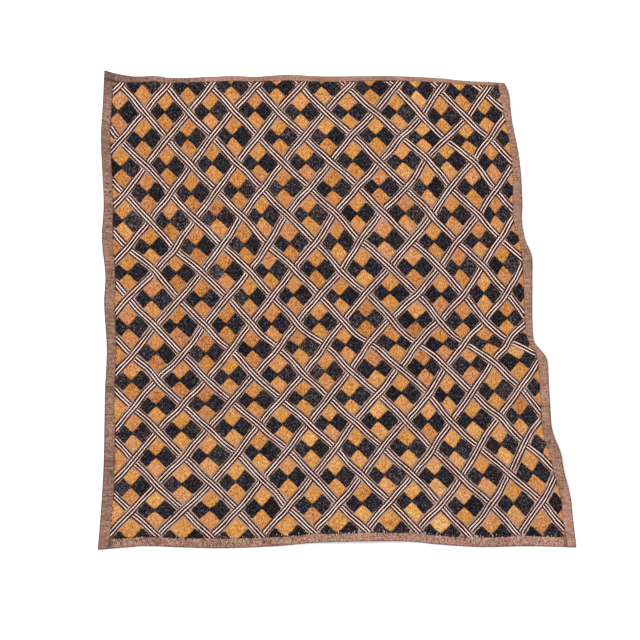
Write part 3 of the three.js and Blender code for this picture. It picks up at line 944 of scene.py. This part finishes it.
def groundMaterial(weave):
    material, tree, shader = startMaterial("plain_raffia", 0.85)
    threads = addNode(tree, "ShaderNodeUVMap", -1200, 0, uv_map="threads").outputs[0]
    cloth = placeGroup(tree, weave, -800, 0, Pitch=1.5)
    tree.links.new(threads, cloth.inputs["Threads"])
    place = addNode(tree, "ShaderNodeTexCoord", -1200, -400).outputs["Object"]
    ribs = addNode(tree, "ShaderNodeMix", -600, 500, data_type="FLOAT")
    upright = ribNoise(tree, threads, (0.5, 0.22, 1), 500)
    level = ribNoise(tree, threads, (0.07, 0.42, 1), 700)
    for slot, source in ((0, attribute(tree, "ribs", -800, 900)), (2, upright), (3, level)):
        tree.links.new(source, ribs.inputs[slot])
    look = clothLook
    hem = ramp(tree, ribs.outputs[0], look["ribs"], -500, 200)
    speck = ramp(tree, noise(tree, place, 520, 2, -800, -400), look["speck"], -500, -300)
    rough = mixColour(tree, "MULTIPLY", 0.9, hem, speck, -350, 100)
    hem = mixColour(tree, "MIX", attribute(tree, "hemGrain", -800, 300), look["hem"], rough, -250, 200)
    hue = ramp(tree, noise(tree, place, 45, 3, -800, -550), look["hue"], -500, -500)
    hem = mixColour(tree, "MULTIPLY", 1.0, hem, hue, -150, 200)
    olive = shareOf(tree, "olive", look["oliveShare"], -800, 1000)
    hem = mixColour(tree, "MIX", olive, hem, look["olive"], -50, 200)
    grey = shareOf(tree, "grey", look["greyShare"], -800, 1100)
    hem = mixColour(tree, "MIX", grey, hem, look["grey"], 0, 200)
    colour = mixColour(tree, "MIX", attribute(tree, "hemMask", -400, 400), look["field"], hem, 50, 200)
    # painted shade: the cloth darkens between the threads, where the weave is low
    weaveGapShade = ramp(tree, cloth.outputs["Height"], look["weaveGapShade"], -500, 0)
    colour = mixColour(tree, "MULTIPLY", 0.5, colour, weaveGapShade, 100, 200)
    soil = ramp(tree, noise(tree, place, 28, 4, -800, -700), look["soil"], -500, -700)
    colour = mixColour(tree, "MULTIPLY", 0.9, colour, soil, 150, 200)
    tone = mathNode(tree, "MULTIPLY_ADD", attribute(tree, "hemTone", -800, -900), look["toneStep"])
    tone.node.inputs[2].default_value = 1.0
    colour = mixColour(tree, "MULTIPLY", 1.0, colour, tone, 250, 200)
    # painted shade over the hem's rounded outer edge, plus the darker line along its inner edge
    rimShadeAndLine = ramp(tree, attribute(tree, "rim", -800, -1100), look["rimShadeAndLine"], -500, -1000)
    rimShadeAndLine = mixColour(tree, "MIX", attribute(tree, "hemMask", -500, -1200), (1, 1, 1, 1), rimShadeAndLine, -200, -1000)
    colour = mixColour(tree, "MULTIPLY", 1.0, colour, rimShadeAndLine, 350, 200)
    # painted shade in the creases and corner seams, as strong as the fold is deep
    creaseShade = shareOf(tree, "fold", look["creaseShadeShare"], -500, -1400)
    colour = mixColour(tree, "MIX", creaseShade, colour, look["creaseShade"], 450, 200)
    tree.links.new(colour, shader.inputs["Base Color"])
    bump(tree, shader, cloth.outputs["Height"], 0.7, 0.0004)
    return material


def strandMaterial(name, dark, middle, light, roughness):
    material, tree, shader = startMaterial(name, roughness)
    shader.inputs["Specular IOR Level"].default_value = 0.02  # dry fibre
    threads = addNode(tree, "ShaderNodeUVMap", -1100, 0, uv_map="threads").outputs[0]
    stretch = addNode(tree, "ShaderNodeMapping", -900, 0)
    stretch.inputs["Scale"].default_value = (0.12, 2.2, 1)
    tree.links.new(threads, stretch.inputs[0])
    fibre = noise(tree, stretch.outputs[0], 1.0, 2, -700, 0)
    tone = mathNode(tree, "MULTIPLY", attribute(tree, "tone", -900, -300), 0.07)
    level = mathNode(tree, "ADD", fibre, tone)
    colour = ramp(tree, level, [(0.2, dark), (0.5, middle), (0.8, light)], -400, 0)
    tree.links.new(colour, shader.inputs["Base Color"])
    bump(tree, shader, fibre, 0.5, 0.0003)
    return material


# both piles: how strongly each effect shows, then the colours of each
pileLook = {
    "tufts": 720.0,  # to the metre
    # strength of the tuft specks, which hold random fibre tone and painted shade between the tufts
    "speck": 1.58,
    "grain": 0.42,
    "tone": 0.12,
    "blotch": 0.55,
    "red": 0.75,
    "ochre": {
        "stops": [(0.02, srgb(136, 78, 30)), (0.32, srgb(190, 122, 58)), (0.54, srgb(213, 145, 75)),
                  (0.78, srgb(234, 170, 94)), (0.97, srgb(250, 205, 136))],
        "rim": srgb(202, 148, 118), "rimShare": 0.62,
        "redTint": (0.95, 0.91, 1.7, 1), "blotchTint": (0.96, 0.97, 1.9, 1),
    },
    "black": {
        "stops": [(0.02, srgb(6, 5, 9)), (0.34, srgb(24, 22, 28)), (0.58, srgb(43, 40, 47)),
                  (0.78, srgb(76, 70, 78)), (0.97, srgb(126, 116, 118))],
        "rim": srgb(50, 34, 31), "rimShare": 0.6,
        "redTint": (1.55, 1.25, 0.9, 1), "blotchTint": (0.6, 0.52, 0.48, 1),
    },
}


def pileMaterial(name, grain, look):
    material, tree, shader = startMaterial(name, 0.95)
    place = addNode(tree, "ShaderNodeTexCoord", -1300, 0).outputs["Object"]
    tufts = placeGroup(tree, grain, -1000, 0, Tufts=pileLook["tufts"])
    tree.links.new(place, tufts.inputs["Place"])
    # tuft specks: random fibre tone, and painted shade between the tufts with lighter tips
    fromMiddle = mathNode(tree, "SUBTRACT", tufts.outputs["SpeckAndTuftShade"], 0.5)
    speck = mathNode(tree, "MULTIPLY", fromMiddle, pileLook["speck"])
    fromMiddle = mathNode(tree, "SUBTRACT", attribute(tree, "grain", -1000, -300), 0.5)
    point = mathNode(tree, "MULTIPLY", fromMiddle, pileLook["grain"])
    tone = mathNode(tree, "MULTIPLY", attribute(tree, "tone", -1000, -500), pileLook["tone"])
    level = mathNode(tree, "ADD", mathNode(tree, "ADD", mathNode(tree, "ADD", speck, point), tone), 0.5)
    colour = ramp(tree, level, look["stops"], -300, 0)
    blotch = ramp(tree, tufts.outputs["Blotch"], [(0.5, (0, 0, 0, 1)), (0.75, (1, 1, 1, 1))], -500, -200)
    blotch = mathNode(tree, "MULTIPLY", blotch, pileLook["blotch"])
    colour = mixColour(tree, "MULTIPLY", blotch, colour, look["blotchTint"], 0, 0)
    red = shareOf(tree, "red", pileLook["red"], -1000, -900)
    colour = mixColour(tree, "MULTIPLY", red, colour, look["redTint"], 100, 0)
    rim = shareOf(tree, "rim", look["rimShare"], -1000, -700)
    colour = mixColour(tree, "MIX", rim, colour, look["rim"], 200, 0)
    tree.links.new(colour, shader.inputs["Base Color"])
    bump(tree, shader, tufts.outputs["Height"], 0.6, 0.0005)
    return material


# make the pieces
groundPiece = makeGround()
stitches = layStitches()
slant, height = bands["slant"], bands["height"]
palePiece = makeStitches("pale_stem_stitch", stitches["pale"], slant, height, bands["paleLift"])
darkPiece = makeStitches("dark_stem_stitch", stitches["dark"], slant, height)
ochrePiece = makePile("ochre_pile", False)
blackPiece = makePile("black_pile", True)
hemPiece = makeStitches("hem_stitch", hemStitches(), 0, trim["hemHeight"], trim["hemLift"])
paleEnds, darkEnds = frayedFibres()
paleFray = makeStitches("pale_fray", paleEnds, 0, trim["fibreHeight"], trim["fibreLift"])
darkFray = makeStitches("dark_fray", darkEnds, 0, trim["fibreHeight"], trim["fibreLift"])
flecks = makeStitches("pile_flecks", pileFlecks(), 0, trim["fibreHeight"], trim["fibreLift"])
paleBits, darkBits = hemFlecks()
paleHem = makeStitches("pale_hem_flecks", paleBits, 0, trim["fibreHeight"], trim["hemFleckLift"])
darkHem = makeStitches("dark_hem_flecks", darkBits, 0, trim["fibreHeight"], trim["hemFleckLift"])

weaveGroup, grainGroup = plainWeaveGroup(), pileGrainGroup()
paleLift = 1.3
paleShades = [srgb(*shade, paleLift) for shade in ((226, 190, 178), (253, 227, 217), (255, 246, 240))]
paleRaffia = strandMaterial("pale_raffia", *paleShades, 0.7)
darkRaffia = strandMaterial("dark_raffia", srgb(30, 8, 4), srgb(60, 20, 13), srgb(94, 48, 37), 0.8)
groundPiece.data.materials.append(groundMaterial(weaveGroup))
for piece in (palePiece, paleFray):
    piece.data.materials.append(paleRaffia)
for piece in (darkPiece, darkFray):
    piece.data.materials.append(darkRaffia)
hemThread = strandMaterial("hem_thread", srgb(62, 36, 30), srgb(98, 62, 50), srgb(150, 108, 90), 0.8)
for piece in (hemPiece, darkHem):
    piece.data.materials.append(hemThread)
paleHem.data.materials.append(
    strandMaterial("hem_fibre", srgb(188, 152, 136), srgb(220, 188, 174), srgb(246, 226, 216), 0.8))
flecks.data.materials.append(
    strandMaterial("grey_fibre", srgb(70, 66, 78), srgb(104, 97, 104), srgb(150, 138, 136), 0.8))
ochrePiece.data.materials.append(pileMaterial("ochre_cut_pile", grainGroup, pileLook["ochre"]))
blackPiece.data.materials.append(pileMaterial("black_cut_pile", grainGroup, pileLook["black"]))
print("materials done")

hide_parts("raffia_panel")

# plain pale floor, soft studio light and the camera above
studio = {
    "floorSize": 6.0,
    "floorDrop": 0.0003,
    "world": 0.97,
    "key": {"place": (-0.9, 1.1, 2.1), "size": 1.6, "power": 46},
    "view": {"middle": (-21.25, -11.9), "width": 800, "height": 2600, "sensor": 36},  # mm
}


def makeStudio():
    half = studio["floorSize"] / 2
    mesh = bpy.data.meshes.new("floor")
    corners = [(-half, -half, 0), (half, -half, 0), (half, half, 0), (-half, half, 0)]
    mesh.from_pydata(corners, [], [(0, 1, 2, 3)])
    floor = bpy.data.objects.new("floor", mesh)
    floor.location.z = -studio["floorDrop"]
    bpy.context.collection.objects.link(floor)
    material, tree, shader = startMaterial("pale_floor", 0.9)
    shader.inputs["Base Color"].default_value = (0.95, 0.95, 0.95, 1)
    floor.data.materials.append(material)
    world = bpy.data.worlds.new("studio")
    world.use_nodes = True
    world.node_tree.nodes["Background"].inputs[0].default_value = (1, 1, 1, 1)
    world.node_tree.nodes["Background"].inputs[1].default_value = studio["world"]
    bpy.context.scene.world = world
    lamp = bpy.data.lights.new("key", "AREA")
    lamp.shape, lamp.size, lamp.energy = "DISK", studio["key"]["size"], studio["key"]["power"]
    key = bpy.data.objects.new("key", lamp)
    key.location = studio["key"]["place"]
    key.rotation_euler = (-Vector(studio["key"]["place"])).to_track_quat("-Z", "Y").to_euler()
    bpy.context.collection.objects.link(key)
    view = studio["view"]
    camera = bpy.data.cameras.new("above")
    camera.sensor_width = view["sensor"]
    camera.lens = view["sensor"] * view["height"] / view["width"]
    above = bpy.data.objects.new("above", camera)
    above.location = (view["middle"][0] * mm, view["middle"][1] * mm, view["height"] * mm)
    bpy.context.collection.objects.link(above)
    bpy.context.scene.camera = above
    bpy.context.scene.view_settings.view_transform = "Standard"


makeStudio()
print("studio done")
